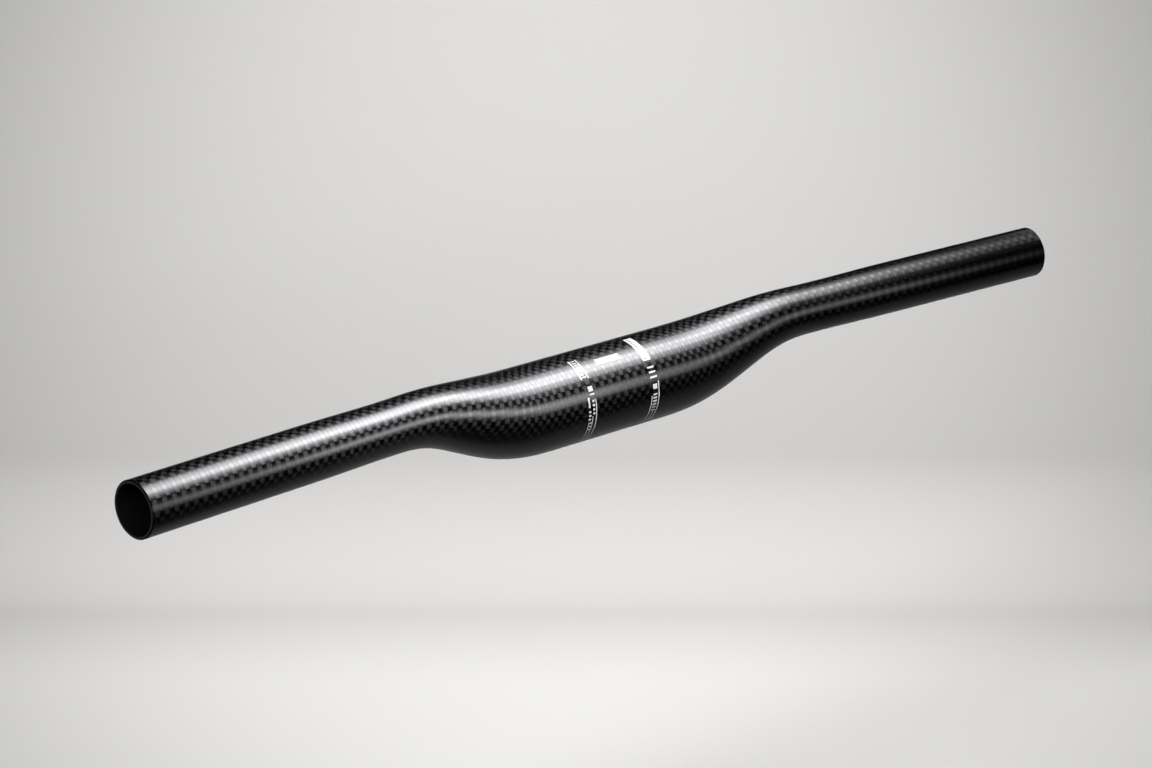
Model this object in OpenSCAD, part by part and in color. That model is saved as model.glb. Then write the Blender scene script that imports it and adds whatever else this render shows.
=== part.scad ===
// Flat handlebar moulded in carbon fibre as one hollow tube.
// The bar lies along X with the rider on the -Y side and +Z up, and its origin is the middle of the clamp zone.

/* [Overall] */
// Width between the centres of the two open ends
overall_w = 400; // [380:1:440]
// Back sweep of the arms, in degrees towards the rider
back_sweep = 7.5; // [4:0.5:10]
// Up sweep of the grips, in degrees
up_sweep = 2; // [0:0.5:5]

/* [Clamp zone] */
// Diameter that the stem clamps
clamp_d = 31.8; // [28:0.1:35]
// Length of the straight clamp zone
clamp_len = 47; // [40:1:56]
// Wall of the clamp zone
clamp_wall = 2.4; // [1.8:0.1:3.5]

/* [Bends] */
// Steepest climb between the two bends, in degrees
rise_angle = 16; // [10:0.5:20]
// Length of the lower bend along X
lower_bend_len = 33.5; // [28:0.5:38]
// Length of the climb between the bends along X
climb_len = 7; // [4:0.5:10]
// Length of the upper bend along X
upper_bend_len = 30; // [26:0.5:34]
// Length along X over which the tube tapers from the clamp zone to the neck
taper_len = 75.5; // [60:0.5:84]

/* [Grips] */
// Diameter of the seat for the grip
grip_d = 19; // [18:0.1:22.2]
// Diameter of the neck inboard of the grip
neck_d = 18.4; // [17:0.1:19]
// Length along X over which the neck widens to the grip seat
neck_len = 31; // [20:1:40]
// Wall of the grips and the neck
grip_wall = 1.3; // [1:0.1:2]
// Bevel on the outer edge of each open end
outer_bevel = 0.35; // [0.1:0.05:0.6]
// Bevel on the inner edge of each open end
inner_bevel = 0.25; // [0.1:0.05:0.4]

/* [Hidden] */

$fn = 96;
// Sides and steps of the swept bends, and steps of the neck's profile
sweep_sides = 36;
sweep_steps = 24;
neck_steps = 10;
// The bent tube reaches this far into the round tubes at its ends, with its skins this far inside their walls
sweep_overlap = 0.5;
sweep_inset = 0.03;

clamp_end = clamp_len / 2;
lower_bend_end = clamp_end + lower_bend_len;
upper_bend_start = lower_bend_end + climb_len;
upper_bend_end = upper_bend_start + upper_bend_len;
taper_end = clamp_end + taper_len;
arm_start = max(upper_bend_end, taper_end);
arm_end = overall_w / 2;

back_slope = tan(back_sweep);
rise_slope = tan(rise_angle);
up_slope = tan(up_sweep);

// A ramp that eases from 0 to 1 while u goes from 0 to 1, and the area under it
function ramp(u) = u <= 0 ? 0 : u >= 1 ? 1 : u * u * (3 - 2 * u);
function ramp_area(u) = u <= 0 ? 0 : u >= 1 ? u - 0.5 : u * u * u * (1 - u / 2);
// A ramp with a gentler start and end
function soft_ramp(u) = u <= 0 ? 0 : u >= 1 ? 1 : u * u * u * (10 - 15 * u + 6 * u * u);

// Progress along the lower bend and along the upper bend at x
function lower_u(x) = (x - clamp_end) / lower_bend_len;
function upper_u(x) = (x - upper_bend_start) / upper_bend_len;

// Centreline of the right half, and its direction
function centre(x) = [
    x,
    -back_slope * lower_bend_len * ramp_area(lower_u(x)),
    rise_slope * lower_bend_len * ramp_area(lower_u(x))
        + (up_slope - rise_slope) * upper_bend_len * ramp_area(upper_u(x))
];
function slope(x) = [
    1,
    -back_slope * ramp(lower_u(x)),
    rise_slope * ramp(lower_u(x)) + (up_slope - rise_slope) * ramp(upper_u(x))
];
function direction(x) = slope(x) / norm(slope(x));

// Share of the way from the clamp zone to the neck at x
function taper(x) = soft_ramp((x - clamp_end) / taper_len);
function outer_r(x) = clamp_d / 2 + (neck_d - clamp_d) / 2 * taper(x)
    + (grip_d - neck_d) / 2 * ramp((x - arm_start) / neck_len);
function wall(x) = clamp_wall + (grip_wall - clamp_wall) * taper(x);
function inner_r(x) = outer_r(x) - wall(x);

// One ring of the sweep at x with its corners at radius r, square to the centreline
function ring(x, r) = [
    let (t = direction(x), side = cross([0, 0, 1], t), n = side / norm(side), b = cross(t, n))
    for (i = [0:sweep_sides - 1])
        let (a = 360 * i / sweep_sides)
            centre(x) + r * (cos(a) * n + sin(a) * b)
];

// Hollow tube swept along both bends while it tapers
module bent_tube() {
    first_x = clamp_end - sweep_overlap;
    last_x = arm_start + sweep_overlap;
    stations = [for (i = [0:sweep_steps]) first_x + (last_x - first_x) * i / sweep_steps];
    rings = len(stations);
    points = concat(
        [for (x = stations) each ring(x, outer_r(x) - sweep_inset)],
        [for (x = stations) each ring(x, (inner_r(x) + sweep_inset) / cos(180 / sweep_sides))]
    );
    // Number of the corner at side i of ring k, on the outer skin (0) or the inner one (1)
    function corner(skin, k, i) = (skin * rings + k) * sweep_sides + i % sweep_sides;
    last = rings - 1;
    faces = [
        for (i = [0:sweep_sides - 1]) each concat(
            [for (k = [0:last - 1]) [
                corner(0, k, i), corner(0, k + 1, i), corner(0, k + 1, i + 1), corner(0, k, i + 1)
            ]],
            [for (k = [0:last - 1]) [
                corner(1, k, i), corner(1, k, i + 1), corner(1, k + 1, i + 1), corner(1, k + 1, i)
            ]],
            [
                [corner(0, 0, i), corner(0, 0, i + 1), corner(1, 0, i + 1), corner(1, 0, i)],
                [corner(0, last, i), corner(1, last, i), corner(1, last, i + 1), corner(0, last, i + 1)]
            ]
        )
    ];
    polyhedron(points, faces, convexity = 6);
}

// Straight arm: the neck widens to the seat for the grip, which ends open with bevelled edges
module straight_arm() {
    stretch = norm(slope(arm_start));
    arm_len = (arm_end - arm_start) * stretch;
    neck_x = [for (i = [0:neck_steps]) arm_start + neck_len * i / neck_steps];
    outline = concat(
        [for (x = neck_x) [outer_r(x), (x - arm_start) * stretch]],
        [
            [grip_d / 2, arm_len - outer_bevel],
            [grip_d / 2 - outer_bevel, arm_len],
            [grip_d / 2 - grip_wall + inner_bevel, arm_len],
            [grip_d / 2 - grip_wall, arm_len - inner_bevel]
        ],
        [for (i = [neck_steps:-1:0]) [inner_r(neck_x[i]), (neck_x[i] - arm_start) * stretch]]
    );
    t = direction(arm_start);
    translate(centre(arm_start))
        rotate([0, acos(t[2]), atan2(t[1], t[0])])
            rotate_extrude()
                polygon(outline);
}

// Straight tube that the stem clamps
module clamp_zone() {
    rotate([0, 90, 0])
        linear_extrude(height = clamp_len, center = true)
            difference() {
                circle(d = clamp_d);
                circle(d = clamp_d - 2 * clamp_wall);
            }
}

module half_bar() {
    bent_tube();
    straight_arm();
}

module handlebar() {
    color("#1a1a1c")
        union() {
            clamp_zone();
            half_bar();
            mirror([1, 0, 0])
                half_bar();
        }
}

handlebar();
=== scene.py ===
from math import cos, pi, radians, sin, tan

import bpy
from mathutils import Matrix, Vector


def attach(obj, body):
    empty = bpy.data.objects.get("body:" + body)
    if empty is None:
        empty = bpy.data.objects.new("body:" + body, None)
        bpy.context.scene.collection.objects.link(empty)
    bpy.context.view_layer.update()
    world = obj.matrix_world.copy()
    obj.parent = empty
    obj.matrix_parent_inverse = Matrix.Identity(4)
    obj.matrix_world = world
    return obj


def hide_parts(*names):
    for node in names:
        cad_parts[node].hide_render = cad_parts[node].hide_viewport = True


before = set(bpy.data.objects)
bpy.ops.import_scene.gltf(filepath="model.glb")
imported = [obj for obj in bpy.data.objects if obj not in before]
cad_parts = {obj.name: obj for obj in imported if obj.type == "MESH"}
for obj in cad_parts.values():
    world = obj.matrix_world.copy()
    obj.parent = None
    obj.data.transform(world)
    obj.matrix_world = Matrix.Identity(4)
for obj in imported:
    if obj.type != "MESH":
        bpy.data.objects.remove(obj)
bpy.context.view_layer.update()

# Handlebar
# One hollow tube of woven carbon fibre, laid up and cured in a mould in a single piece, then clear coated.
# The thick middle is clamped by the stem. Both arms climb and sweep back to the grips, and their open
# ends show the wall.
# Sizes in metres. The three slopes are rises for each metre out along the bar.
sizes = {
    "Half width": 0.2,
    "Back slope": tan(radians(7.5)),
    "Climb slope": tan(radians(16)),
    "Up slope": tan(radians(2)),
    "Clamp end": 0.0235,
    "Lower bend": 0.0335,
    "Climb": 0.007,
    "Upper bend": 0.030,
    "Taper": 0.0755,
    "Neck": 0.031,
    "Clamp radius": 0.0159,
    "Neck radius": 0.0092,
    "Grip radius": 0.0095,
    "Clamp wall": 0.0024,
    "Grip wall": 0.0013,
    "Outer bevel": 0.00035,
    "Inner bevel": 0.00025,
}


def node(tree, kind, *values, settings=None, **links):
    """Adds a node. kind is its type, or a step of arithmetic such as ADD. Values fill its inputs in order.
    Links fill them by name, or by number after i. Each is a constant, an output, or a node, which stands
    for its first output."""
    is_step = kind.isupper()
    added = tree.nodes.new("ShaderNodeMath" if is_step else kind)
    if is_step:
        added.operation = kind
    for key, value in (settings or {}).items():
        setattr(added, key, value)
    for key, value in [(f"i{k}", value) for k, value in enumerate(values)] + list(links.items()):
        socket = added.inputs[int(key[1:]) if key[1:].isdigit() else key.replace("_", " ")]
        if isinstance(value, bpy.types.Node):
            value = value.outputs[0]
        if isinstance(value, bpy.types.NodeSocket):
            tree.links.new(value, socket)
        else:
            socket.default_value = value
    return added


def linear(code):
    """An sRGB hex colour as the linear colour that a shader takes."""
    parts = [int(code[k:k + 2], 16) / 255 for k in (1, 3, 5)]
    return [c / 12.92 if c <= 0.04045 else ((c + 0.055) / 1.055) ** 2.4 for c in parts] + [1.0]


# Lacquered carbon weave
# A plain weave of flat carbon tows under a satin clear coat. Fibres that run along the bar spread a
# highlight round it, and fibres that run round the bar keep it narrow, so the highlight's edges break
# into small squares. The clear coat over them gives the broad even shine.
TOW = 0.00188  # width of one tow, in metres
RELIEF = 0.00005  # how far a tow stands out of the cloth, in metres
carbon = bpy.data.materials.new("lacquered carbon weave")
carbon.use_nodes = True
cloth = carbon.node_tree
cloth.nodes.clear()
skin = node(cloth, "ShaderNodeUVMap", settings={"uv_map": "skin"})
along_bar, round_bar, _ = node(cloth, "ShaderNodeSeparateXYZ", Vector=skin).outputs
along_cell = node(cloth, "DIVIDE", along_bar, TOW)
round_cell = node(cloth, "DIVIDE", round_bar, TOW)
cell_sum = node(cloth, "ADD", node(cloth, "FLOOR", along_cell), node(cloth, "FLOOR", round_cell))
is_warp = node(cloth, "PINGPONG", cell_sum, 1.0)  # 1 and 0 by turns, like a draughtboard
# Height of the cloth: each tow rises in the middle of its square and is rounded across its width
arch_along = node(cloth, "SINE", node(cloth, "MULTIPLY", node(cloth, "FRACT", along_cell), pi))
arch_round = node(cloth, "SINE", node(cloth, "MULTIPLY", node(cloth, "FRACT", round_cell), pi))
height = node(cloth, "MULTIPLY", arch_along, arch_round)
relief = node(cloth, "ShaderNodeBump", Height=height, Strength=0.6, Distance=RELIEF)
# Fibres shine like a dark metal. The resin in the gaps between the tows is a little darker.
shown = node(cloth, "ShaderNodeMapRange", height, 0.0, 0.4, settings={"interpolation_type": "SMOOTHSTEP"})
fibre = node(
    cloth, "ShaderNodeMix", shown, i6=linear("#303032"), i7=linear("#3e3e40"), settings={"data_type": "RGBA"},
)


def column(x, first, step, count, width, height):
    """Equal marks at even steps round the tube."""
    return [(x, first + step * k, width, height) for k in range(count)]


# White ink under the lacquer marks the clamp zone with two rings of plain lines, ticks and blocks and a
# blank label. A mark is a rectangle in mm: its middle along the bar and round from the top, its width
# and its height.
left_ring = [
    (-15.9, 8.3, 0.5, 9.0), (-12.9, 8.3, 0.45, 9.0), *column(-14.4, 4.4, 1.1, 8, 1.6, 0.45),
    (-14.0, 16.6, 1.9, 1.8), (-13.9, 18.6, 1.9, 0.5), (-15.8, 21.3, 0.75, 3.6),
    *column(-13.9, 21.0, 1.5, 4, 0.9, 0.8), *column(-15.7, 24.6, 1.4, 3, 1.0, 0.7),
    *column(-15.1, 29.0, 1.4, 3, 0.9, 0.5),
    (-12.8, 29.5, 0.4, 18.0), (-15.9, 33.5, 0.3, 10.0), (-14.4, 32.5, 0.3, 12.0),
]
right_ring = [
    (14.0, 6.2, 3.4, 12.6), *column(14.0, 15.2, 1.8, 3, 3.0, 0.6), (14.0, 22.2, 1.9, 1.8),
    *column(14.0, 25.1, 1.3, 4, 1.7, 0.7), *column(14.0, 30.3, 1.3, 2, 1.7, 0.5),
    (15.7, 29.5, 0.4, 18.0), (12.5, 32.0, 0.35, 13.0), (14.3, 35.5, 0.3, 6.0),
]
label = [(-0.9, 7.6, 10.4, 2.4)]
ticks_left_bare = column(13.5, 0.9, 1.2, 10, 1.2, 0.4)


def stamp(rectangles):
    """1 inside any of the rectangles and 0 outside them."""
    covered = 0.0
    for x, y, width, height in rectangles:
        wide = node(cloth, "COMPARE", along_bar, x / 1000, width / 2000)
        high = node(cloth, "COMPARE", round_bar, y / 1000, height / 2000)
        covered = node(cloth, "MAXIMUM", node(cloth, "MULTIPLY", wide, high), covered)
    return covered


ink = node(cloth, "SUBTRACT", stamp(left_ring + right_ring + label), stamp(ticks_left_bare))
colour = node(
    cloth, "ShaderNodeMix", ink, i6=fibre.outputs[2], i7=linear("#f2f2f2"), settings={"data_type": "RGBA"},
)
# The tangent marks the way that a highlight spreads, so it lies across the fibres. It runs along the bar
# in the squares of the weft, and a quarter turn sets it round the bar in those of the warp.
tangent = node(cloth, "ShaderNodeTangent", settings={"direction_type": "UV_MAP", "uv_map": "skin"})
lacquer = node(
    cloth, "ShaderNodeBsdfPrincipled",
    Base_Color=colour.outputs[2], Metallic=node(cloth, "SUBTRACT", 1.0, ink), Roughness=0.26,
    Normal=relief, Tangent=tangent,
    Anisotropic=1.0, Anisotropic_Rotation=node(cloth, "MULTIPLY", is_warp, 0.25),
    Coat_Weight=1.0, Coat_Roughness=0.2, Coat_IOR=1.5,
)
node(cloth, "ShaderNodeOutputMaterial", Surface=lacquer)

# Bare carbon inside the tube
# The inside of the moulding has no lacquer. It is dull black resin and cloth, and takes little light.
bare = bpy.data.materials.new("bare carbon inside")
bare.use_nodes = True
bare_look = bare.node_tree.nodes["Principled BSDF"].inputs
bare_look["Base Color"].default_value = linear("#0c0c0d")
bare_look["Roughness"].default_value = 0.65

# Cut edge of the tube
# The sawn and sanded end of the wall, which shows as a thin dull grey ring.
cut_edge = bpy.data.materials.new("cut carbon edge")
cut_edge.use_nodes = True
edge_look = cut_edge.node_tree.nodes["Principled BSDF"].inputs
edge_look["Base Color"].default_value = linear("#343436")
edge_look["Roughness"].default_value = 0.5

# Shape of the tube
tree = bpy.data.node_groups.new("moulded tube", "GeometryNodeTree")
tree.interface.new_socket("Geometry", in_out="OUTPUT", socket_type="NodeSocketGeometry")
for name in sizes:
    tree.interface.new_socket(name, in_out="INPUT", socket_type="NodeSocketFloat")
given = tree.nodes.new("NodeGroupInput").outputs


def ramp(start, length, at, kind="SMOOTHSTEP"):
    """Eases from 0 to 1 over a length that begins at start."""
    end = node(tree, "ADD", start, length)
    return node(tree, "ShaderNodeMapRange", at, start, end, settings={"interpolation_type": kind})


def ramp_area(start, length, at):
    """The area under that ramp, as a length. On the ramp it is u^3 - u^4 / 2 of the ramp's length."""
    u = node(tree, "DIVIDE", node(tree, "SUBTRACT", at, start), length)
    held = node(tree, "MINIMUM", node(tree, "MAXIMUM", u, 0.0), 1.0)
    past = node(tree, "MAXIMUM", node(tree, "SUBTRACT", u, 1.0), 0.0)
    half_left = node(tree, "SUBTRACT", 1.0, node(tree, "DIVIDE", held, 2.0))
    bent = node(tree, "MULTIPLY", node(tree, "POWER", held, 3.0), half_left)
    return node(tree, "MULTIPLY", node(tree, "ADD", bent, past), length)


def mix(a, b, share):
    """From a to b by a share."""
    return node(tree, "MULTIPLY_ADD", node(tree, "SUBTRACT", b, a), share, a)


# The tube starts as a flat sheet of squares. Its long way runs out along the outer skin, over the
# right end's edge, back along the inner skin and over the left end's edge. Its short way goes once round.
HALF_RINGS = 120
SIDES = 96
sheet = node(
    tree, "GeometryNodeMeshGrid",
    Size_X=4.0 * HALF_RINGS + 2, Size_Y=1.0, Vertices_X=4 * HALF_RINGS + 3, Vertices_Y=SIDES + 1,
)
row, turn, _ = node(tree, "ShaderNodeSeparateXYZ", node(tree, "GeometryNodeInputPosition")).outputs
past_right_end = node(tree, "GREATER_THAN", row, -0.5)
past_left_end = node(tree, "GREATER_THAN", row, 2 * HALF_RINGS)
before_left_end = node(tree, "LESS_THAN", row, 2 * HALF_RINGS + 0.5)
inner = node(tree, "MULTIPLY", past_right_end, before_left_end)
from_right_end = node(tree, "ABSOLUTE", node(tree, "ADD", row, 0.5))
ring = node(tree, "MAXIMUM", node(tree, "SUBTRACT", HALF_RINGS + 0.5, from_right_end), -HALF_RINGS)
steps = node(tree, "ABSOLUTE", ring)
at_edge = node(tree, "MAXIMUM", node(tree, "SUBTRACT", steps, HALF_RINGS - 1), 0.0)
bevel = mix(given["Outer bevel"], given["Inner bevel"], inner)
up_to_bevel = node(tree, "SUBTRACT", given["Half width"], bevel)
out = mix(
    node(tree, "MULTIPLY", up_to_bevel, node(tree, "DIVIDE", steps, HALF_RINGS - 1)),
    given["Half width"], at_edge,
)
side = node(tree, "SIGN", ring)
x = node(tree, "MULTIPLY", out, side)

# Centreline and its slope at that distance from the middle
lower_end = node(tree, "ADD", given["Clamp end"], given["Lower bend"])
upper_start = node(tree, "ADD", lower_end, given["Climb"])
bend = ramp(given["Clamp end"], given["Lower bend"], out)
unbend = ramp(upper_start, given["Upper bend"], out)
bend_area = ramp_area(given["Clamp end"], given["Lower bend"], out)
unbend_area = ramp_area(upper_start, given["Upper bend"], out)
back = node(tree, "MULTIPLY", given["Back slope"], -1.0)
level_off = node(tree, "SUBTRACT", given["Up slope"], given["Climb slope"])
levelled = node(tree, "MULTIPLY", level_off, unbend_area)
centre = node(
    tree, "ShaderNodeCombineXYZ", X=x, Y=node(tree, "MULTIPLY", back, bend_area),
    Z=node(tree, "MULTIPLY_ADD", given["Climb slope"], bend_area, levelled),
)
climb = node(tree, "MULTIPLY_ADD", given["Climb slope"], bend, node(tree, "MULTIPLY", level_off, unbend))
slope = node(
    tree, "ShaderNodeCombineXYZ", X=1.0,
    Y=node(tree, "MULTIPLY", side, node(tree, "MULTIPLY", back, bend)),
    Z=node(tree, "MULTIPLY", side, climb),
)

# Radius: the clamp zone tapers to the neck, and the neck widens to the grip seat
taper = ramp(given["Clamp end"], given["Taper"], out, "SMOOTHERSTEP")
widen = ramp(node(tree, "ADD", given["Clamp end"], given["Taper"]), given["Neck"], out)
outer_r = node(
    tree, "MULTIPLY_ADD", node(tree, "SUBTRACT", given["Grip radius"], given["Neck radius"]), widen,
    mix(given["Clamp radius"], given["Neck radius"], taper),
)
inner_r = node(tree, "SUBTRACT", outer_r, mix(given["Clamp wall"], given["Grip wall"], taper))
outwards = mix(-1.0, 1.0, inner)
bevelled = node(tree, "MULTIPLY", at_edge, node(tree, "MULTIPLY", bevel, outwards))
radius = node(tree, "ADD", mix(outer_r, inner_r, inner), bevelled)

# The ring stands square to the centreline, with its seam underneath
UP = (0, 0, 1)
forward = node(tree, "ShaderNodeVectorMath", slope, settings={"operation": "NORMALIZE"})
sideways = node(tree, "ShaderNodeVectorMath", UP, forward, settings={"operation": "CROSS_PRODUCT"})
sideways = node(tree, "ShaderNodeVectorMath", sideways, settings={"operation": "NORMALIZE"})
upward = node(tree, "ShaderNodeVectorMath", forward, sideways, settings={"operation": "CROSS_PRODUCT"})
angle = node(tree, "MULTIPLY", turn, 2 * pi)
rise = node(tree, "MULTIPLY", radius, node(tree, "COSINE", angle))
reach = node(tree, "MULTIPLY", radius, node(tree, "MULTIPLY", node(tree, "SINE", angle), -1.0))
raised = node(tree, "ShaderNodeVectorMath", upward, Scale=rise, settings={"operation": "SCALE"})
reached = node(tree, "ShaderNodeVectorMath", sideways, Scale=reach, settings={"operation": "SCALE"})
spoke = node(tree, "ShaderNodeVectorMath", raised, reached, settings={"operation": "ADD"})
place = node(tree, "ShaderNodeVectorMath", centre, spoke, settings={"operation": "ADD"})

# The cloth's own measure, in metres: along the bar, and round it from the top
measure = node(tree, "ShaderNodeCombineXYZ", X=x, Y=node(tree, "MULTIPLY", angle, radius))
cloth_map = node(
    tree, "GeometryNodeStoreNamedAttribute", Geometry=sheet, Name="skin",
    settings={"data_type": "FLOAT2", "domain": "CORNER"},
)
tree.links.new(measure.outputs[0], [s for s in cloth_map.inputs if s.name == "Value" and s.enabled][0])

# The faces get their materials while the sheet is flat. Then it is rolled up and its seams are closed.
SEAM_GAP = 0.000001  # metres
SHARP = radians(25)  # a bend in the surface past this angle shows as a crisp line
is_edge = node(tree, "MAXIMUM", node(tree, "COMPARE", row, -0.5, 0.1), past_left_end)
painted = node(tree, "GeometryNodeSetMaterial", Geometry=cloth_map, Material=carbon)
painted = node(tree, "GeometryNodeSetMaterial", Geometry=painted, Material=bare, Selection=past_right_end)
painted = node(tree, "GeometryNodeSetMaterial", Geometry=painted, Material=cut_edge, Selection=is_edge)
rolled = node(tree, "GeometryNodeSetPosition", Geometry=painted, Position=place)
closed = node(tree, "GeometryNodeMergeByDistance", Geometry=rolled, Distance=SEAM_GAP)
smooth = node(
    tree, "GeometryNodeSetShadeSmooth", Geometry=closed, Shade_Smooth=True, settings={"domain": "FACE"},
)
is_soft = node(tree, "LESS_THAN", node(tree, "GeometryNodeInputMeshEdgeAngle"), SHARP)
smooth = node(
    tree, "GeometryNodeSetShadeSmooth", Geometry=smooth, Shade_Smooth=is_soft, settings={"domain": "EDGE"},
)
whole = node(tree, "GeometryNodeRealizeInstances", Geometry=smooth)
node(tree, "NodeGroupOutput", Geometry=whole)

maker = bpy.data.objects.new("tube_maker", bpy.data.meshes.new("tube_maker"))
bpy.context.scene.collection.objects.link(maker)
build = maker.modifiers.new("moulded tube", "NODES")
build.node_group = tree
for item in tree.interface.items_tree:
    if item.in_out == "INPUT":
        build[item.identifier] = sizes[item.name]
bpy.context.view_layer.update()
made = bpy.data.meshes.new_from_object(maker.evaluated_get(bpy.context.evaluated_depsgraph_get()))
bpy.data.objects.remove(maker)
bar = bpy.data.objects.new("handlebar_tube", made)
bpy.context.scene.collection.objects.link(bar)
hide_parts("handlebar")
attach(bar, "root")

# Camera
# A long lens above and behind the rider's left, so that the left arm comes towards the viewer.
# It looks down by TILT and to the right of straight ahead by TURN.
TILT = radians(20.658)
TURN = radians(39.337)
camera = bpy.data.objects.new("camera", bpy.data.cameras.new("camera"))
bpy.context.scene.collection.objects.link(camera)
camera.location = (-0.60521, -0.72742, 0.35914)
camera.rotation_euler = (pi / 2 - TILT, 0, -TURN)
camera.data.lens = 89.84
camera.data.sensor_width = 36
camera.data.clip_start = 0.01
bpy.context.scene.camera = camera

# Paper sweep
# Pale grey paper lies flat under the bar and curves up into a low wall behind it, square to the camera.
# Only the camera sees it at full brightness. In the bar's lacquer, and in light bounced off it, it stays a
# dim grey: painted shade standing in for the dimmer floor close under the bar.
PAPER_Z = -0.35
PAPER_START = -0.05
CURVE_START = 0.56
CURVE_R = 0.07
HALF_PAPER = 1.5
paper = bpy.data.materials.new("pale grey paper")
paper.use_nodes = True
pulp = paper.node_tree
pulp.nodes.clear()
# Painted shade: every ray but the camera's sees the paper as a dim grey instead of its pale grey.
shade = node(
    pulp, "ShaderNodeMix", node(pulp, "ShaderNodeLightPath").outputs["Is Camera Ray"],
    i6=linear("#777675"), i7=linear("#dedddc"), settings={"data_type": "RGBA"},
)
matt = node(
    pulp, "ShaderNodeBsdfPrincipled", Base_Color=shade.outputs[2], Roughness=1.0, Specular_IOR_Level=0.0,
)
node(pulp, "ShaderNodeOutputMaterial", Surface=matt)
away = Vector((sin(TURN), cos(TURN), 0))
right = Vector((away.y, -away.x, 0))
curve_turns = [radians(a) for a in range(0, 91, 3)]
profile = [
    (PAPER_START, PAPER_Z),
    *[(CURVE_START + CURVE_R * sin(a), PAPER_Z + CURVE_R * (1 - cos(a))) for a in curve_turns],
    (CURVE_START + CURVE_R, 0.0),
]
corners = [away * d + right * w + Vector((0, 0, z)) for w in (-HALF_PAPER, HALF_PAPER) for d, z in profile]
count = len(profile)
paper_mesh = bpy.data.meshes.new("paper_sweep")
paper_mesh.from_pydata(corners, [], [(k, k + count, k + count + 1, k + 1) for k in range(count - 1)])
paper_mesh.shade_smooth()
paper_mesh.materials.append(paper)
sweep = bpy.data.objects.new("paper_sweep", paper_mesh)
bpy.context.scene.collection.objects.link(sweep)

# Room
# A dim studio. Only the camera sees a pale wall beyond the paper.
world = bpy.data.worlds.new("studio")
bpy.context.scene.world = world
world.use_nodes = True
air = world.node_tree
air.nodes.clear()
is_seen = node(air, "ShaderNodeLightPath").outputs["Is Camera Ray"]
dim = node(air, "ShaderNodeBackground", Color=linear("#ffffff"), Strength=0.006)
seen = node(air, "ShaderNodeBackground", Color=linear("#d6d5d4"), Strength=1.0)
node(air, "ShaderNodeOutputWorld", Surface=node(air, "ShaderNodeMixShader", is_seen, dim, seen))


# Light panels
# Diffused studio panels that show only in reflections, where they draw the bar's highlights.
# Each is a flat sheet with a glow that fades towards its rims.
def glow_panel(name, place, turn, length, width, strength, long_shape, near, far):
    """long_shape gives the glow along the panel's length, as points from one end to the other. near and far
    are the spread of the glow to either side of its middle line."""
    glow = bpy.data.materials.new(name)
    glow.use_nodes = True
    made_of = glow.node_tree
    made_of.nodes.clear()
    own_place = node(made_of, "ShaderNodeTexCoord").outputs["Object"]
    along, over, _ = node(made_of, "ShaderNodeSeparateXYZ", own_place).outputs
    share = node(made_of, "ADD", node(made_of, "DIVIDE", along, length), 0.5)
    fade = node(made_of, "ShaderNodeFloatCurve", Value=share)
    points = fade.mapping.curves[0].points
    start, *between, end = long_shape
    points[0].location = start
    points[1].location = end
    for where, level in between:
        points.new(where, level)
    fade.mapping.update()
    is_far = node(made_of, "GREATER_THAN", over, 0.0)
    off = node(made_of, "DIVIDE", over, node(made_of, "MULTIPLY_ADD", is_far, far - near, near))
    bell = node(made_of, "EXPONENT", node(made_of, "MULTIPLY", node(made_of, "MULTIPLY", off, off), -0.5))
    power = node(made_of, "MULTIPLY", node(made_of, "MULTIPLY", bell, fade), strength)
    shine = node(made_of, "ShaderNodeEmission", Strength=power)
    node(made_of, "ShaderNodeOutputMaterial", Surface=shine)
    mesh = bpy.data.meshes.new(name)
    x, y = length / 2, width / 2
    mesh.from_pydata([(-x, -y, 0), (x, -y, 0), (x, y, 0), (-x, y, 0)], [], [(0, 3, 2, 1)])
    mesh.materials.append(glow)
    panel = bpy.data.objects.new(name, mesh)
    bpy.context.scene.collection.objects.link(panel)
    panel.location = place
    panel.rotation_euler = turn
    panel.visible_camera = panel.visible_diffuse = panel.visible_shadow = False


# Strip light close above the bar, which draws the broad highlight
glow_panel(
    "top_light", place=(0.10, -0.018, 0.165), turn=(0, 0, radians(6)), length=0.56, width=0.4, strength=13.8,
    long_shape=[
        (0.0, 0.35), (0.19, 0.68), (0.27, 0.84), (0.35, 0.95), (0.43, 1.0), (0.5, 0.88),
        (0.57, 0.8), (0.63, 0.43), (0.71, 0.18), (0.78, 0.08), (0.845, 0.03), (1.0, 0.0),
    ],
    near=0.043, far=0.035,
)
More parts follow.
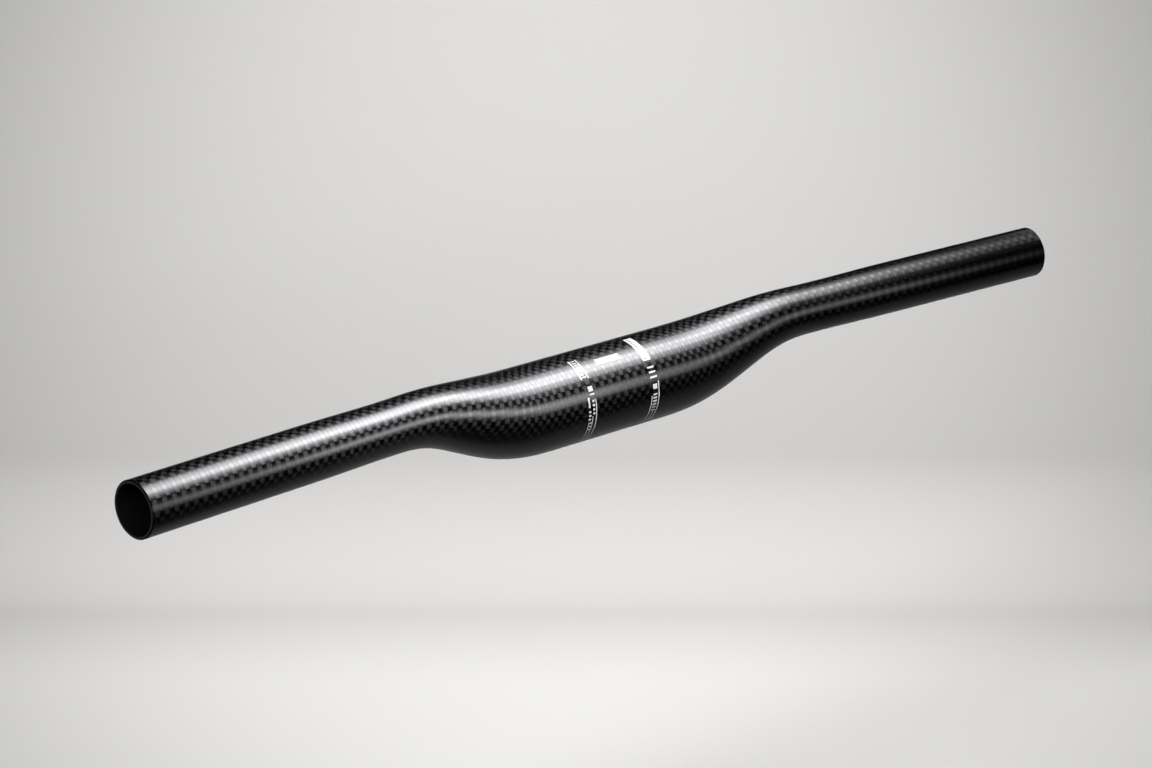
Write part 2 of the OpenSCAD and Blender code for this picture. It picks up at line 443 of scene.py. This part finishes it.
# Softbox far out beyond the right end, which lights the left arm's bend
glow_panel(
    "end_light", place=(0.62, 0.13, 0.40), turn=(0, radians(-60), radians(11)), length=0.45, width=0.7,
    strength=11.5, long_shape=[(0.0, 0.0), (0.25, 0.3), (0.36, 0.8), (0.45, 1.0), (0.7, 1.0), (1.0, 0.6)],
    near=0.11, far=0.085,
)
# Narrow strip on the rider's side, which draws the second, dimmer highlight
glow_panel(
    "side_light", place=(0.0, -0.075, 0.027), turn=(radians(90), 0, 0), length=0.5, width=0.1, strength=4.8,
    long_shape=[
        (0.0, 0.1), (0.22, 0.3), (0.3, 0.45), (0.38, 0.85), (0.46, 1.0), (0.55, 0.9),
        (0.6, 0.6), (0.65, 0.45), (0.74, 0.3), (0.8, 0.22), (0.87, 0.08), (1.0, 0.01),
    ],
    near=0.0075, far=0.0075,
)

# Lamps for the paper
# One spot lights the middle of the wall and two the floor under it. A soft fill stands behind the
# camera, and a lamp on the left casts the bar's faint shadow at the lower right.
# Each has its place, what it aims at, the size of its source in metres, its cone in degrees and its watts.
wall_middle = away * 0.63 + right * -0.02 + Vector((0, 0, -0.21))
floor_middle = away * 0.4 + right * 0.05 + Vector((0, 0, PAPER_Z))
under_bar = away * 0.45 + Vector((0, 0, -0.25))
for name, place, aim, size, cone, power in [
    ("wall_spot", away * -0.3 + Vector((0, 0, 0.45)), wall_middle, 0.1, 50, 27.0),
    ("floor_spot", away * 0.66 + right * 0.05 + Vector((0, 0, 0.80)), floor_middle, 0.1, 90, 15.0),
    ("rear_spot", away * 0.8 + right * 0.05 + Vector((0, 0, 0.60)), floor_middle, 0.1, 90, 12.0),
    ("shadow_lamp", Vector((-1.2, -0.75, 1.02)), under_bar, 0.175, 60, 50.0),
    ("fill_lamp", Vector((-0.5, -1.5, 0.9)), under_bar, 0.5, 60, 70.0),
]:
    lamp = bpy.data.lights.new(name, "SPOT")
    lamp.energy = power
    lamp.shadow_soft_size = size
    lamp.spot_size = radians(cone)
    lamp.spot_blend = 1.0
    holder = bpy.data.objects.new(name, lamp)
    bpy.context.scene.collection.objects.link(holder)
    holder.location = place
    holder.rotation_euler = (aim - place).to_track_quat("-Z", "Y").to_euler()
    holder.visible_glossy = False

bpy.context.scene.view_settings.view_transform = "Standard"
